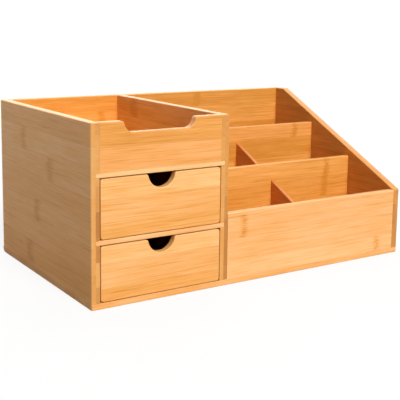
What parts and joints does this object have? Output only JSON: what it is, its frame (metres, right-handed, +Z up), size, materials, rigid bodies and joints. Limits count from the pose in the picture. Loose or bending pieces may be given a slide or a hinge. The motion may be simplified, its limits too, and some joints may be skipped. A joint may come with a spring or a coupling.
{
  "type": "desk organizer",
  "caption": "Bamboo desk organizer: an open tray over sliding drawers with finger notches, beside a stepped rack of upright pockets under a sloping side panel.",
  "frame": {"origin": "on the desk, under the middle of the overall box", "axes": "+X to the right along the width, -Y to the front where the drawers open, +Z up"},
  "size_m": [0.33, 0.195, 0.147],
  "materials": {
    "bamboo_board": "satin clear lacquer over laminated strips",
    "bamboo_front": "satin clear lacquer over laminated strips",
    "bamboo_drawer_box": "sanded, thin clear lacquer",
    "bamboo_thin_ply": "sanded, thin clear lacquer"
  },
  "bodies": {
    "carcass": {"base_board": "bamboo_board", "left_side_panel": "bamboo_board", "middle_panel": "bamboo_board", "right_side_panel": "bamboo_board", "back_panel": "bamboo_board", "lower_shelf": "bamboo_board", "upper_shelf": "bamboo_board", "tray_front": "bamboo_front", "low_front": "bamboo_front", "front_partition": "bamboo_front", "rear_partition": "bamboo_front", "front_divider": "bamboo_board", "rear_divider": "bamboo_board"},
    "upper_drawer": {"upper_drawer_front": "bamboo_front", "upper_drawer_left_side": "bamboo_drawer_box", "upper_drawer_right_side": "bamboo_drawer_box", "upper_drawer_back": "bamboo_drawer_box", "upper_drawer_bottom": "bamboo_thin_ply"},
    "lower_drawer": {"lower_drawer_front": "bamboo_front", "lower_drawer_left_side": "bamboo_drawer_box", "lower_drawer_right_side": "bamboo_drawer_box", "lower_drawer_back": "bamboo_drawer_box", "lower_drawer_bottom": "bamboo_thin_ply"}
  },
  "joints": [
    {"name": "upper_drawer_slide", "type": "slide", "parent": "carcass", "child": "upper_drawer", "axis": [0, -1, 0], "range_m": [0, 0.15]},
    {"name": "lower_drawer_slide", "type": "slide", "parent": "carcass", "child": "lower_drawer", "axis": [0, -1, 0], "range_m": [0, 0.15]}
  ]
}
